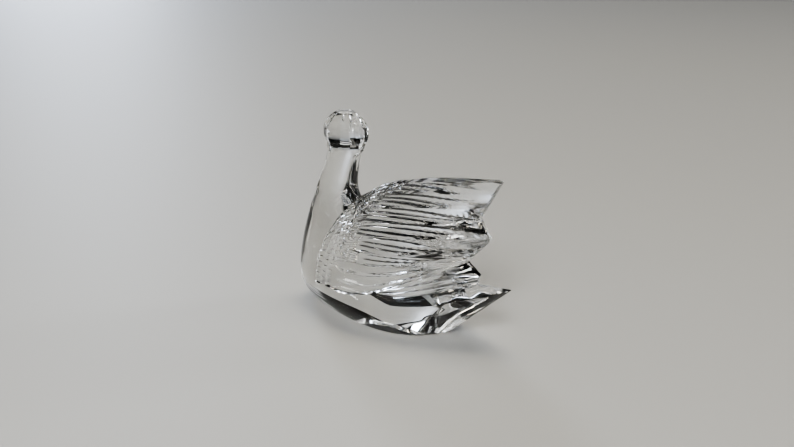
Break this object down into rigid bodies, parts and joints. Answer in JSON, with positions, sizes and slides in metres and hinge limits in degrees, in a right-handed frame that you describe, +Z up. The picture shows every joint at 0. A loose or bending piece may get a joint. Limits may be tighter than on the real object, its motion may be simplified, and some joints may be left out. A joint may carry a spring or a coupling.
{
  "type": "crystal swan figurine",
  "caption": "Small solid clear-glass swan ornament with raised fluted wings, an upright neck and a flat oval underside.",
  "frame": {"origin": "middle of the flat underside, on the surface the figurine stands on", "axes": "+Z up, the swan faces -X, and the plane y = 0 mirrors its two sides"},
  "size_m": [0.1086, 0.041, 0.095],
  "materials": {
    "clear_crystal": "polished clear lead crystal"
  },
  "bodies": {
    "root": {"swan": "clear_crystal"}
  },
  "joints": []
}
